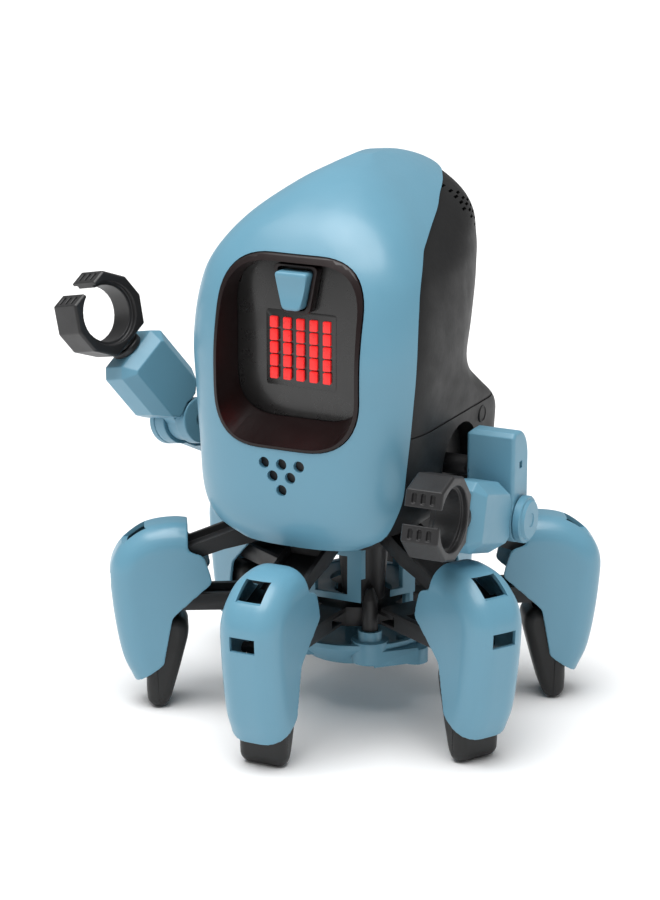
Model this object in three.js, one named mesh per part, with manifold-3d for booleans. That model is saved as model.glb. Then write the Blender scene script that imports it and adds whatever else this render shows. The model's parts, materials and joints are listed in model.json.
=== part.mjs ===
// Educational coding robot: a tall hooded head with a recessed display, two posable arms with C-shaped
// grippers, and six shelled legs on a crank-driven frame. Millimetres, +Z up, the face looks along -Y.
import * as THREE from "three";
import { mergeVertices } from "three/addons/utils/BufferGeometryUtils.js";
import Module from "manifold-3d";

const wasm = await Module();
wasm.setup();

// ---- Driving dimensions ----
const GAP = 0.4; // clearance between neighbouring pieces

// Head: [height, value] along the hood
const HALF_WIDTH = [
  [91, 36], [96, 45], [102, 49], [112, 52], [130, 53.2], [155, 55], [180, 56],
  [205, 52.3], [220, 44], [232, 33.5], [242, 20.7], [248, 10], [251, 4],
];
const FRONT_DEPTH = [
  [91, -65], [100, -71.5], [110, -73.5], [130, -74], [155, -73.8], [180, -73],
  [205, -66.7], [220, -58.4], [232, -47.5], [242, -30.7], [248, -12.2], [251, 5.5],
];
const REAR_DEPTH = [
  [91, 56], [110, 60], [133, 62], [142, 54], [150, 46], [158, 40], [167, 43], [182, 54],
  [200, 66], [213, 71], [225, 71], [235, 66], [243, 56], [248, 40], [251, 20],
];
// The flank is straight from the front corners' centre to the rear corners' centre
const FLANK_FRONT = [[91, -30], [213, -30], [228, -20], [238, -5], [251, 8]];
const FLANK_REAR = [
  [91, 10], [105, 25], [133, 30], [141, 26], [149, 8], [157, -12], [168, -26], [200, -27],
  [212, -12], [222, 12], [232, 22], [251, 12],
];
const FRONT_POWER = 2.7; // superellipse exponents of the plan section's corners
const REAR_POWER = 2.35;
const FRONT_WALL = 2.4;
const REAR_INSET = 1.2; // the rear shell sits this far inside the front shell
const REAR_WALL = 2.0;
const REAR_BOTTOM = 98;
// Parting edge between the shells, as [depth, height]
const PARTING = [
  [-57.5, 80], [-57, 104], [-55, 117], [-53.8, 137], [-53, 160], [-52.3, 178], [-49, 195], [-43, 207.5],
  [-31, 217], [-21, 221.2], [-8, 225.6], [7, 230], [20, 234.3], [38, 238.6], [50, 241], [70, 250],
];
const VISOR = { half: 33, bottom: 138, top: 217, corner: 16, rim: 1.2, panelY: -54 };
const VISOR_BACK = { half: 30.5, bottom: 146, top: 214, corner: 13 };
const LED = { columns: 5, pitchX: 6.3, pitchZ: 5.6, wide: 3.5, tall: 5, middleZ: 176, faceY: -54.8 };
const SPEAKER_HOLES = [[0, 130], [-8.3, 130], [8.3, 130], [-4.2, 124.5], [4.2, 124.5], [0, 118.5]];
const SPEAKER_HOLE_RADIUS = 2.2;
const CELL = { radius: 7.1, length: 50, pitch: 15 };

// Legs, in the (radius, height) plane of each leg
const LEG_COUNT = 6;
const LEG_HALF_WIDTH = 15;
const LEG_ROUND = 11;
const LEG_WALL = 2;
const LEG_FORM = [
  [40, 84], [70, 86], [82.7, 87], [94.7, 85.2], [103.4, 79.9], [108.7, 74], [111.6, 66], [111.3, 55],
  [109.4, 38.6], [106.3, 23.7], [101.3, 12.5], [90, -14], [40, -14],
];
const LEG_OUTLINE = [
  [76, 95], [76.4, 75.6], [69, 73.2], [66.1, 63.7], [65.7, 60.5], [80, 47.7], [83.5, 44.6],
  [87.7, 22.3], [89.1, 21], [101, 12], [120, 10], [120, 95],
];
const LEG_SLOTS = [{ low: 57, high: 63.6 }, { low: 77.3, high: 84.5 }];
const LEG_SLOT_HALF_WIDTH = 5.9;
const FOOT_HALF_WIDTH = 11;
const UPPER_PIN = [88, 69];
const LOWER_PIN = [86, 50];
const LINK_SLOPE = 0.36; // rise of the upper link per millimetre towards the hub
const UPPER_LINK_START = 32.4;
const LOWER_LINK_START = 33;
const PIN_REACH = 12.4;

// Drive
const HUB_APOTHEM = 32;
const TEETH = { crank: 30, pinion: 12, module: 1, height: 4, bottom: 98.8 };
const GEAR_SPACING = 21.5;
const PLATE = { radius: 23.6, bottom: 42, top: 51, bore: 10.8 };
const CRANK_THROW = 4;
const PEG = { angle: 38, radius: 29.5, thick: 3.6 };
const COLUMN = { angle: 38, radius: 15.5 };
const POSTS = [-30, 90, 210]; // where the frame's three feet stand, in degrees
const POST_RADIUS = 26;

// Arms, from the shoulder's side hinge, with the arm hanging
const SHOULDER = new THREE.Vector3(61.5, -2, 118);
const ARM_INNER = -3.5;
const ARM_OUTER = 19;
const ARM_MIDDLE = (ARM_INNER + ARM_OUTER) / 2;
const ELBOW_DROP = 21;
const ELBOW_RADIUS = 10.5;
const FOREARM_LENGTH = 46;
const GRIPPER_CENTRE = 68;
const GRIPPER = { outer: 18, inner: 12.6, halfWidth: 8.5, halfGap: 3.7 };
const ARM_POSES = { right: { swing: 0, raise: 0, bend: 105 }, left: { swing: 120, raise: 25.7, bend: 26.6 } };

const COLOURS = {
  blue: { color: "#79b3ca", roughness: 0.42 },
  black: { color: "#2b2b2c", roughness: 0.5 },
  panel: { color: "#1c1b1c", roughness: 0.2 },
  red: { color: "#e42222", roughness: 0.4 },
  grey: { color: "#8c8c8c", roughness: 0.5 },
  board: { color: "#1f6b3c", roughness: 0.6 },
  steel: { color: "#b9bcc0", roughness: 0.3, metalness: 0.9 },
};

// ---- Solids ----
const rad = THREE.MathUtils.degToRad;

function solid(geometry) {
  const bare = geometry.clone();
  bare.deleteAttribute("normal");
  bare.deleteAttribute("uv");
  const merged = mergeVertices(bare, 1e-4);
  return new wasm.Manifold(new wasm.Mesh({
    numProp: 3,
    vertProperties: new Float32Array(merged.attributes.position.array),
    triVerts: new Uint32Array(merged.index.array),
  }));
}

function geometryOf(body) {
  const mesh = body.getMesh();
  const geometry = new THREE.BufferGeometry();
  geometry.setAttribute("position", new THREE.BufferAttribute(new Float32Array(mesh.vertProperties), 3));
  geometry.setIndex(new THREE.BufferAttribute(new Uint32Array(mesh.triVerts), 1));
  geometry.computeVertexNormals();
  return geometry;
}

const join = (...bodies) => bodies.reduce((a, b) => a.add(b));
const cut = (body, ...tools) => tools.reduce((a, b) => a.subtract(b), body);

function box(x, y, z) {
  const geometry = new THREE.BoxGeometry(x[1] - x[0], y[1] - y[0], z[1] - z[0]);
  return solid(geometry.translate((x[0] + x[1]) / 2, (y[0] + y[1]) / 2, (z[0] + z[1]) / 2));
}

// A cylinder, or a cone with two radii, from `from` to `to` along axis x, y or z, through `centre`
function rod(axis, centre, from, to, radius, radiusTo = radius, sides = 16) {
  const geometry = new THREE.CylinderGeometry(radiusTo, radius, to - from, sides);
  geometry.translate(0, (from + to) / 2, 0);
  if (axis === "x") geometry.rotateZ(-Math.PI / 2).translate(0, centre[0], centre[1]);
  if (axis === "y") geometry.translate(centre[0], 0, centre[1]);
  if (axis === "z") geometry.rotateX(Math.PI / 2).translate(centre[0], centre[1], 0);
  return solid(geometry);
}

const BASES = {
  // Where the outline's x, the outline's y and the extrusion point
  side: [[0, 1, 0], [0, 0, 1], [1, 0, 0]],
  leg: [[0, -1, 0], [0, 0, 1], [-1, 0, 0]],
  face: [[1, 0, 0], [0, 0, 1], [0, -1, 0]],
  plan: [[1, 0, 0], [0, 1, 0], [0, 0, 1]],
};

function outline(points) {
  return new THREE.Shape(points.map(([x, y]) => new THREE.Vector2(x, y)));
}

// A flat outline extruded from `from` to `to`. `round` eases its edges inside that length, and `inset`
// draws the whole outline in.
function prism(shape, basis, from, to, { round = 0, segments = 4, inset = 0, curve = 4 } = {}) {
  const geometry = new THREE.ExtrudeGeometry(shape, {
    depth: to - from - 2 * round,
    curveSegments: curve,
    bevelEnabled: round > 0,
    bevelThickness: round,
    bevelSize: round,
    bevelOffset: -round - inset,
    bevelSegments: segments,
  });
  geometry.translate(0, 0, from + round);
  const axes = BASES[basis].map((v) => new THREE.Vector3(...v));
  return solid(geometry.applyMatrix4(new THREE.Matrix4().makeBasis(...axes)));
}

function roundedRectangle(half, bottom, top, corner) {
  const shape = new THREE.Shape();
  shape.moveTo(-half + corner, bottom);
  shape.lineTo(half - corner, bottom);
  shape.quadraticCurveTo(half, bottom, half, bottom + corner);
  shape.lineTo(half, top - corner);
  shape.quadraticCurveTo(half, top, half - corner, top);
  shape.lineTo(-half + corner, top);
  shape.quadraticCurveTo(-half, top, -half, top - corner);
  shape.lineTo(-half, bottom + corner);
  shape.quadraticCurveTo(-half, bottom, -half + corner, bottom);
  return shape;
}

// A closed skin over rings of equally many points, ring by ring, with a flat cap at each end
function loft(rings) {
  const around = rings[0].length;
  const positions = rings.flat(2);
  const faces = [];
  for (let i = 0; i + 1 < rings.length; i += 1) {
    for (let j = 0; j < around; j += 1) {
      const k = (j + 1) % around;
      const low = i * around;
      faces.push(low + j, low + k, low + around + k, low + j, low + around + k, low + around + j);
    }
  }
  const top = (rings.length - 1) * around;
  for (let j = 1; j + 1 < around; j += 1) {
    faces.push(0, j + 1, j, top, top + j, top + j + 1);
  }
  const geometry = new THREE.BufferGeometry();
  geometry.setAttribute("position", new THREE.Float32BufferAttribute(positions, 3));
  geometry.setIndex(faces);
  return solid(geometry);
}

// The value at `at` on a smooth line through [position, value] knots
function along(knots, at) {
  const last = knots.length - 1;
  const i = Math.max(0, Math.min(last - 1, knots.findIndex((k) => k[0] > at) - 1));
  const start = at >= knots[last][0] ? last - 1 : i;
  const slope = (k) => {
    const a = knots[Math.max(0, k - 1)];
    const b = knots[Math.min(last, k + 1)];
    return (b[1] - a[1]) / (b[0] - a[0]);
  };
  const [x0, y0] = knots[start];
  const [x1, y1] = knots[start + 1];
  const span = x1 - x0;
  const t = THREE.MathUtils.clamp((at - x0) / span, 0, 1);
  const h = t * t * (3 - 2 * t);
  return y0 + (y1 - y0) * h + span * (slope(start) * t * (1 - t) ** 2 - slope(start + 1) * t * t * (1 - t));
}

// ---- Head ----
const HOOD_LEVELS = [91, 97, 105, 118, 134, 143, 151, 160, 174, 190, 204, 217, 229, 239, 246, 251];
const CROWN = 205;
const HOOD_TOP = 251;
const HOOD_SIDES = 28;
const LINING_SIDES = 20;

// The hood's outer form, drawn in by `inset`. Below its lowest level it can run straight down by `drop`.
function hood(inset, sides = HOOD_SIDES, drop = 0) {
  const ring = (z, height) => {
    const wide = Math.max(1, along(HALF_WIDTH, z) - inset);
    const start = along(FLANK_FRONT, z);
    const end = Math.max(start + 1.5, along(FLANK_REAR, z));
    const front = Math.max(1, start - along(FRONT_DEPTH, z) - inset);
    const rear = Math.max(1, along(REAR_DEPTH, z) - end - inset);
    const half = (power, depth, middle, from) => Array.from({ length: sides / 2 + 1 }, (_, i) => {
      const angle = from + (2 * Math.PI * i) / sides;
      const bulge = (v) => Math.sign(v) * Math.abs(v) ** (2 / power);
      return [wide * bulge(Math.cos(angle)), middle + depth * bulge(Math.sin(angle)), height];
    });
    return [...half(FRONT_POWER, front, start, -Math.PI), ...half(REAR_POWER, rear, end, 0)];
  };
  // Towards the flat top the inner surface is lowered too, so that the wall keeps its thickness
  const rings = HOOD_LEVELS.map((z) => ring(z, z - inset * Math.max(0, (z - CROWN) / (HOOD_TOP - CROWN))));
  if (drop > 0) rings.unshift(ring(HOOD_LEVELS[0], HOOD_LEVELS[0] - drop));
  return loft(rings);
}

const HOOD_REACH = 120;
const frontRegion = (shift) => prism(
  outline([
    [-HOOD_REACH, 80], ...PARTING.map(([y, z]) => [y - shift, z + shift]), [70, 280], [-HOOD_REACH, 280],
  ]),
  "side", -HOOD_REACH, HOOD_REACH,
);
const rearRegion = (shift) => prism(
  outline([
    [HOOD_REACH, 80], [HOOD_REACH, 250], ...PARTING.map(([y, z]) => [y + shift, z - shift]).reverse(),
  ]),
  "side", -HOOD_REACH, HOOD_REACH,
);

function frontShell() {
  const grown = VISOR.rim + GAP;
  const window = prism(
    roundedRectangle(VISOR.half + grown, VISOR.bottom - grown, VISOR.top + grown, VISOR.corner + grown),
    "face", 30, HOOD_REACH,
  );
  const radius = SPEAKER_HOLE_RADIUS;
  const holes = SPEAKER_HOLES.map(([x, z]) => rod("y", [x, z], -90, -60, radius, radius, 8));
  const skin = cut(hood(0), hood(FRONT_WALL, LINING_SIDES, 5));
  return cut(skin.intersect(frontRegion(0)), window, ...holes);
}

// The round recess each shoulder sits in: its floor lies between `depth` and `wall` from the middle plane
const ARCH = { radius: 19.2, rim: 1.2, depth: 41, wall: 43.5, bore: 5 };

function rearShell() {
  const lining = hood(REAR_INSET + REAR_WALL, LINING_SIDES, 5);
  const skin = cut(hood(REAR_INSET), lining).intersect(rearRegion(GAP));
  const below = box([-90, 90], [-90, 90], [80, REAR_BOTTOM]);
  const mouth = box([-REAR_HOUSING.half - GAP, REAR_HOUSING.half + GAP], [38, 90],
    [REAR_HOUSING.bottom - GAP, REAR_HOUSING.top + GAP]);
  let body = cut(skin, below, mouth);
  for (const side of [-1, 1]) {
    const span = (a, b) => [Math.min(side * a, side * b), Math.max(side * a, side * b)];
    const at = [SHOULDER.y, SHOULDER.z];
    const opening = rod("x", at, ...span(ARCH.wall, 60), ARCH.radius);
    const lined = rod("x", at, ...span(ARCH.depth, 60), ARCH.radius + ARCH.rim).intersect(hood(REAR_INSET));
    const recess = cut(lined, rod("x", at, ...span(ARCH.wall, 60), ARCH.radius), below);
    const hole = rod("x", at, ...span(ARCH.depth - 1, 60), ARCH.bore);
    body = cut(join(cut(body, opening), recess), hole);
  }
  return body;
}

const REAR_HOUSING = { half: 34, bottom: 106, top: 134, from: 42, to: 70 };

// Bulged housing at the lower back, open behind, where the battery door closes it
function rearHousing() {
  const { half, bottom, top, from, to } = REAR_HOUSING;
  const shape = outline([
    [-half, from], [half, from], [half, to - 9], [half - 7, to], [-half + 7, to], [-half, to - 9],
  ]);
  const form = prism(shape, "plan", bottom, top, { round: 2, segments: 2 });
  const inside = box([-half + 8, half - 8], [from + 4, to + 5], [bottom + 3, top - 3]);
  const front = box([-half + 3, half - 3], [from - 1, from + 1.5], [bottom + 3, top - 3]);
  const slot = box([half - 6, half + 1], [54, 60], [114, 128]);
  return cut(form, inside, front, slot);
}

function batteryDoor() {
  const { half, bottom, top, to } = REAR_HOUSING;
  const shape = roundedRectangle(half - 8 - GAP, bottom + 3 + GAP, top - 3 - GAP, 3);
  const plate = prism(shape, "face", -to - 1.5, -to + 2.5);
  const grips = [-1, 0, 1].map((i) => box([-9, 9], [to + 0.7, to + 3], [119.4 + 3 * i, 120.6 + 3 * i]));
  return cut(plate, ...grips);
}

function powerSwitch() {
  const x = REAR_HOUSING.half;
  const slide = box([x - 5.5, x - 0.5], [54 + GAP, 60 - GAP], [115.5, 124]);
  return join(slide, box([x - 0.6, x + 1], [55.5, 58.5], [118, 122]));
}

function visorTub() {
  const { half, bottom, top, corner, rim, panelY } = VISOR;
  const frame = roundedRectangle(half + rim, bottom - rim, top + rim, corner + rim);
  const outer = prism(frame, "face", 49, HOOD_REACH);
  const ring = (v, y) => roundedRectangle(v.half, v.bottom, v.top, v.corner).getPoints(4)
    .slice(0, -1).map((p) => [p.x, y, p.y]);
  const funnel = loft([
    ring(VISOR_BACK, panelY + 1), ring(VISOR_BACK, panelY - 0.5), ring(VISOR, -74), ring(VISOR, -90),
  ]);
  const grown = (by, rounding) => roundedRectangle(
    VISOR_BACK.half + by, VISOR_BACK.bottom - by, VISOR_BACK.top + by, rounding,
  );
  const seat = prism(grown(1.6, 14), "face", 51.6, 54.9);
  const back = prism(grown(-2.5, 11), "face", 40, 52);
  return cut(outer.intersect(hood(-0.7, LINING_SIDES)), funnel, seat, back);
}

function displayPanel() {
  const { half, bottom, top } = VISOR_BACK;
  return prism(roundedRectangle(half + 1.2, bottom - 1.2, top + 1.2, 13.6), "face", 52, 54.5);
}

function ledMatrix() {
  const reach = ((LED.columns - 1) / 2) * LED.pitchX + 4;
  const tiles = [];
  for (let column = 0; column < LED.columns; column += 1) {
    for (let row = 0; row < LED.columns; row += 1) {
      const x = (column - 2) * LED.pitchX;
      const z = LED.middleZ + (row - 2) * LED.pitchZ;
      const tile = [z - LED.tall / 2, z + LED.tall / 2];
      tiles.push(box([x - LED.wide / 2, x + LED.wide / 2], [LED.faceY - 1.5, LED.faceY - 0.7], tile));
    }
  }
  const height = [LED.middleZ - reach, LED.middleZ + reach];
  const board = box([-reach, reach], [LED.faceY - 0.8, LED.faceY], height);
  return join(board, ...tiles);
}

function faceKey() {
  const shape = outline([
    [-5.4, 196.5], [-4, 195], [4, 195], [5.4, 196.5], [8, 210], [7, 211.5], [-7, 211.5], [-8, 210],
  ]);
  return prism(shape, "face", 56.5, 65, { round: 1.2, segments: 2 });
}

function speaker() {
  return join(rod("y", [0, 121], -66, -63, 12.5), rod("y", [0, 121], -63.2, -56, 9));
}

function controlBoard() {
  return join(
    box([-28, 28], [-45, -43.4], [142, 206]),
    box([-9, 9], [-43.6, -40], [180, 196]),
    box([-20, -6], [-43.6, -37], [146, 156]),
    box([6, 22], [-43.6, -39], [150, 164]),
  );
}

function batteryBox() {
  const reach = 2 * CELL.pitch + 1.5;
  const inside = box([-2 * CELL.pitch, 2 * CELL.pitch], [16, 40], [104.6, 104.6 + CELL.length + 2]);
  return cut(box([-reach, reach], [14.4, 29], [103, 104.6 + CELL.length + 3.6]), inside);
}

function batteryCell(index) {
  const at = [(index - 1.5) * CELL.pitch, 23.5];
  const low = 105.6;
  return join(
    rod("z", at, low, low + CELL.length - 1.5, CELL.radius, CELL.radius, 12),
    rod("z", at, low + CELL.length - 1.6, low + CELL.length, 2.8, 2.8, 8),
  );
}

// ---- Drive ----
function hub() {
  const plate = rotatedPrism(6, HUB_APOTHEM / Math.cos(Math.PI / 6), 82, 97);
  const hollow = rod("z", [0, 0], 70, 92, 26);
  const bore = rod("z", [0, 0], 50, 100, 5);
  const column = rod("z", polar(COLUMN.angle, COLUMN.radius), 54, 93, 9.4, 12.4, 20);
  return cut(join(cut(plate, hollow), column), bore);
}

const polar = (angle, radius) => [radius * Math.sin(rad(angle)), -radius * Math.cos(rad(angle))];

// A regular prism whose flats face the legs
function rotatedPrism(sides, radius, from, to) {
  const corners = Array.from({ length: sides }, (_, i) => polar(((i + 0.5) * 360) / sides, radius));
  return prism(outline(corners), "plan", from, to);
}

function gearboxFrame() {
  const ring = cut(rotatedPrism(6, 29.5, 55, 80), rotatedPrism(6, 26, 57.5, 85));
  const pinHole = rod("z", polar(PEG.angle, PEG.radius), 50, 66, PEG.thick + 0.6);
  const floorHole = rod("z", [0, 0], 50, 60, 12);
  const column = rod("z", polar(COLUMN.angle, COLUMN.radius), 40, 90, 13.2);
  let body = cut(ring, floorHole, column, pinHole);
  for (let i = 0; i < LEG_COUNT; i += 1) {
    const window = box([-8, 8], [-40, -20], [58, 76]).rotate([0, 0, i * 60]);
    body = body.subtract(window);
  }
  for (const angle of POSTS) {
    body = body.add(rod("z", polar(angle, POST_RADIUS), 34.4, 56, 2.6, 2.6, 8));
  }
  return body;
}

function walkingPlate() {
  const { radius, bottom, top, bore } = PLATE;
  let body = rod("z", [0, 0], bottom, top, radius, radius, 24);
  for (let i = 0; i < LEG_COUNT; i += 1) {
    body = body.add(box([-6, 6], [-38, -20], [48.7, 51]).rotate([0, 0, i * 60]));
  }
  const posts = POSTS.map((angle) => rod("z", polar(angle, POST_RADIUS), 30, 60, 3.2, 3.2, 10));
  return cut(body, rod("z", [0, 0], 40, 60, bore, bore, 20), ...posts);
}

function baseDisc() {
  const profile = [[0, 24], [23, 24], [36, 35], [36, 37], [33.5, 37], [22, 27.5], [0, 27.5]];
  const points = profile.map(([r, z]) => new THREE.Vector2(r, z));
  const dish = solid(new THREE.LatheGeometry(points, 28).rotateX(Math.PI / 2));
  const socket = polar(PEG.angle, PEG.radius);
  const end = polar(74, 35.5);
  const pad = join(rod("z", socket, 28, 38, 8.4), rod("z", end, 26, 33, 6), padWeb(socket, end));
  const collar = rod("z", socket, 37.5, 42.5, 5.4);
  const posts = POSTS.map((angle) => rod("z", polar(angle, POST_RADIUS), 27, 34, 5, 5, 12));
  const pivot = rod("z", [0, 0], 27, 41.4, 5);
  return cut(join(dish, pad, collar, pivot, ...posts), rod("z", socket, 35, 60, PEG.thick + 0.3));
}

function padWeb(from, to) {
  const run = new THREE.Vector2(to[0] - from[0], to[1] - from[1]).normalize();
  const side = new THREE.Vector2(-run.y, run.x);
  const corner = (p, s, wide) => [p[0] + side.x * s * wide, p[1] + side.y * s * wide];
  const shape = outline([corner(from, -1, 8), corner(to, -1, 5.8), corner(to, 1, 5.8), corner(from, 1, 8)]);
  return prism(shape, "plan", 27, 34);
}

function guidePin() {
  const at = polar(PEG.angle, PEG.radius);
  return join(rod("z", at, 35.4, 57, PEG.thick), rod("z", at, 56.9, 62, PEG.thick, 1.2));
}

// A spur gear about the Z axis with flat-sided teeth
function gear(teeth, from, to, phase = 0) {
  const pitch = (teeth * TEETH.module) / 2;
  const points = [];
  for (let i = 0; i < teeth; i += 1) {
    const middle = (2 * Math.PI * i) / teeth + phase;
    const root = (0.3 * 2 * Math.PI) / teeth;
    const tip = (0.12 * 2 * Math.PI) / teeth;
    for (const [angle, radius] of [[-root, -1.1], [-tip, 0.85], [tip, 0.85], [root, -1.1]]) {
      points.push([(pitch + radius) * Math.cos(middle + angle), (pitch + radius) * Math.sin(middle + angle)]);
    }
  }
  return prism(outline(points), "plan", from, to);
}

function crank() {
  const { bottom, height } = TEETH;
  const wheel = gear(TEETH.crank, bottom, bottom + height, Math.PI / 2 + Math.PI / TEETH.crank);
  const throwTo = [0, -CRANK_THROW];
  return join(wheel, rod("z", [0, 0], 45, bottom + 1, 4.2), rod("z", throwTo, 43.5, 50, 6, 6, 20));
}

function motorPinion() {
  const { bottom, height } = TEETH;
  const wheel = gear(TEETH.pinion, bottom, bottom + height, -Math.PI / 2);
  const collar = rod("z", [0, 0], bottom + height - 0.1, bottom + height + 1.2, 3.2);
  const bore = rod("z", [0, 0], 90, 110, 1.5, 1.5, 8);
  return cut(join(wheel, collar), bore).translate([0, -GEAR_SPACING, 0]);
}

function driveMotor() {
  const at = [0, -GEAR_SPACING];
  const can = rod("z", at, 105, 130, 10);
  const shaft = rod("z", at, 99, 105.2, 0.95, 0.95, 8);
  return join(can, rod("z", at, 129.8, 132, 4), shaft, rod("z", at, 104.6, 105.1, 3));
}

// ---- Legs, modelled as the front leg ----
function legShell() {
  const width = LEG_HALF_WIDTH;
  const form = prism(outline(LEG_FORM), "leg", -width, width, { round: LEG_ROUND, segments: 2 });
  const inner = width - LEG_WALL;
  const lining = { round: LEG_ROUND - 1, segments: 1, inset: LEG_WALL };
  const cavity = prism(outline(LEG_FORM), "leg", -inner, inner, lining);
  const shell = cut(form.intersect(prism(outline(LEG_OUTLINE), "leg", -20, 20)), cavity);
  const half = LEG_SLOT_HALF_WIDTH;
  const slots = LEG_SLOTS.map(({ low, high }) => box([-half, half], [-120, -92], [low, high]));
  return cut(shell, ...slots);
}

function foot() {
  const shape = outline([
    [80, 43.5], [76.2, 39.5], [76.6, 33.8], [80.9, 17.4], [84.8, 4], [88, 0], [92.4, 0],
    [95.2, 3], [95.8, 9], [95.4, 40], [93.2, 43.5],
  ]);
  const form = prism(shape, "leg", -FOOT_HALF_WIDTH, FOOT_HALF_WIDTH, { round: 4, segments: 1 });
  const hollow = box([-8, 8], [-96, -82], [28, 50]);
  return cut(form, hollow);
}

function upperLink() {
  const [r, z] = UPPER_PIN;
  const at = (radius) => z + (r - radius) * LINK_SLOPE;
  const start = UPPER_LINK_START;
  const bar = outline([
    [start, at(start) - 5], [start, at(start) + 4], [44, at(44) + 3.4], [r, z + 3.2], [r + 3.5, z + 1],
    [r + 3.5, z - 2], [r, z - 3.4], [60, at(60) - 4], [48, at(48) - 5.6],
  ]);
  const plate = prism(bar, "leg", -9.6, 9.6);
  const trough = outline([[50, at(50)], [50, at(50) + 9], [80, at(80) + 9], [80, at(80)]]);
  const groove = prism(trough, "leg", -7.5, 7.5);
  return join(cut(plate, groove), rod("x", [-r, z], -PIN_REACH, PIN_REACH, 2.8, 2.8, 10));
}

function lowerLink() {
  const [r, z] = LOWER_PIN;
  const start = LOWER_LINK_START;
  const bar = outline([
    [start, z - 4], [start, z + 4], [r, z + 4], [r + 3.6, z + 2], [r + 3.6, z - 1.5], [r, z - 3.6],
  ]);
  const plate = prism(bar, "leg", -9, 9);
  const slot = box([-10, 10], [-43, -30], [47.5, 52.2]);
  const lightening = box([-6, 6], [-78, -48], [z + 1, z + 6]);
  return join(cut(plate, slot, lightening), rod("x", [-r, z], -PIN_REACH, PIN_REACH, 2.4, 2.4, 10));
}

// ---- Arms, modelled for the side at +X ----
function shoulderJoint() {
  const stub = rod("x", [0, 0], -23, -2, 4.6);
  const flange = rod("x", [0, 0], -24, -20.9, 7.5);
  const knuckle = rod("y", [0, 0], -5, 5, 5.2);
  const pins = rod("y", [0, 0], -7.4, 7.4, 2.3, 2.3, 10);
  return join(stub, flange, knuckle, pins);
}

function upperArm() {
  const drop = -ELBOW_DROP;
  const side = new THREE.Shape();
  side.moveTo(-8, drop);
  side.lineTo(-8, 17);
  side.lineTo(-6, 19);
  side.lineTo(-1, 19);
  side.quadraticCurveTo(9, 19, 9, 6);
  side.lineTo(9, drop);
  const block = prism(side, "side", ARM_INNER, ARM_OUTER, { round: 1.6, segments: 2 });
  const barrel = rod("x", [0, drop], ARM_INNER, ARM_OUTER, ELBOW_RADIUS, ELBOW_RADIUS, 20);
  const inside = prism(outline([[-12, 9.5], [ARM_INNER + 9.5, 25], [-12, 25]]), "face", -20, 20);
  const pocket = box([-12, 6.5], [-5.5, 5.5], [-10.5, 10.5]);
  const pinHole = rod("y", [0, 0], -7.9, 7.9, 2.7, 2.7, 10);
  const slot = rod("x", [0, drop], ARM_MIDDLE - 4.4, ARM_MIDDLE + 4.4, 13.6, 13.6, 20);
  const elbowHole = rod("x", [0, drop], ARM_INNER - 1, ARM_OUTER + 1, 3, 3, 10);
  const badge = box([ARM_OUTER - 3, ARM_OUTER + 1], [-1.6, 1.6], [2, 5.2]);
  return cut(join(block, barrel), inside, pocket, pinHole, slot, elbowHole, badge);
}

function elbowPin() {
  const drop = -ELBOW_DROP;
  return join(
    rod("x", [0, drop], ARM_INNER + 1, ARM_OUTER + 1, 2.5, 2.5, 10),
    rod("x", [0, drop], ARM_OUTER + GAP, ARM_OUTER + 4, ELBOW_RADIUS, ELBOW_RADIUS, 24),
    rod("x", [0, drop], ARM_OUTER + 3.9, ARM_OUTER + 5.4, 9, 8.4, 24),
  );
}

// The forearm hangs from the elbow axis: its outline is [forward, up], so it is drawn downwards
function forearm() {
  const front = -FOREARM_LENGTH;
  const half = 15.5;
  const form = outline([
    [-half, 6], [half, 6], [half, front + 4], [half - 4, front], [4 - half, front], [-half, front + 4],
  ]);
  const body = prism(form, "side", ARM_INNER, ARM_OUTER, { round: 5, segments: 1 });
  const shape = outline([
    [-half - 1, -18.5], [-6, -11], [8, -9.8], [half + 1, -20.5], [half + 1, -60], [-half - 1, -60],
  ]);
  const arc = rod("x", [0, 0], ARM_INNER - 1, ARM_OUTER + 1, ELBOW_RADIUS + 0.7, ELBOW_RADIUS + 0.7, 20);
  const tongue = join(
    rod("x", [0, 0], ARM_MIDDLE - 4, ARM_MIDDLE + 4, 9, 9),
    box([ARM_MIDDLE - 4, ARM_MIDDLE + 4], [-7, 7], [-16, -4]),
  );
  const hole = rod("x", [0, 0], ARM_INNER - 1, ARM_OUTER + 1, 3, 3, 10);
  const wristBore = rod("z", [ARM_MIDDLE, 0], front - 1, front + 6, 5);
  return cut(join(cut(body.intersect(prism(shape, "side", -10, 30)), arc), tongue), hole, wristBore);
}

function wristCollar() {
  const front = -FOREARM_LENGTH;
  const at = [ARM_MIDDLE, 0];
  return join(rod("z", at, front - 3.2, front - GAP, 7.4), rod("z", at, front - 1, front + 5, 4.6));
}

function gripper() {
  const { outer, inner, halfWidth, halfGap } = GRIPPER;
  const z = -GRIPPER_CENTRE;
  const from = ARM_MIDDLE - halfWidth;
  const to = ARM_MIDDLE + halfWidth;
  const flat = outer - 2.5;
  const octagon = outline([
    [-outer, 6], [-outer, -5], [-11, -flat], [11, -flat],
    [outer, -5], [outer, 6], [10.5, outer - 1.4], [-10.5, outer - 1.4],
  ].map(([y, dz]) => [y, z + dz]));
  const body = prism(octagon, "side", from, to, { round: 0.8, segments: 1 });
  const bore = rod("x", [0, z], from - 1, to + 1, inner, inner, 20);
  const mouth = box([from - 1, to + 1], [-halfGap, halfGap], [z - outer - 1, z]);
  const stem = rod("z", [ARM_MIDDLE, 0], z + 15.5, -FOREARM_LENGTH - 3.5, 6, 6.6);
  return join(cut(body, bore, mouth), stem);
}

// ---- Assembly ----
const robot = new THREE.Group();

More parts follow.
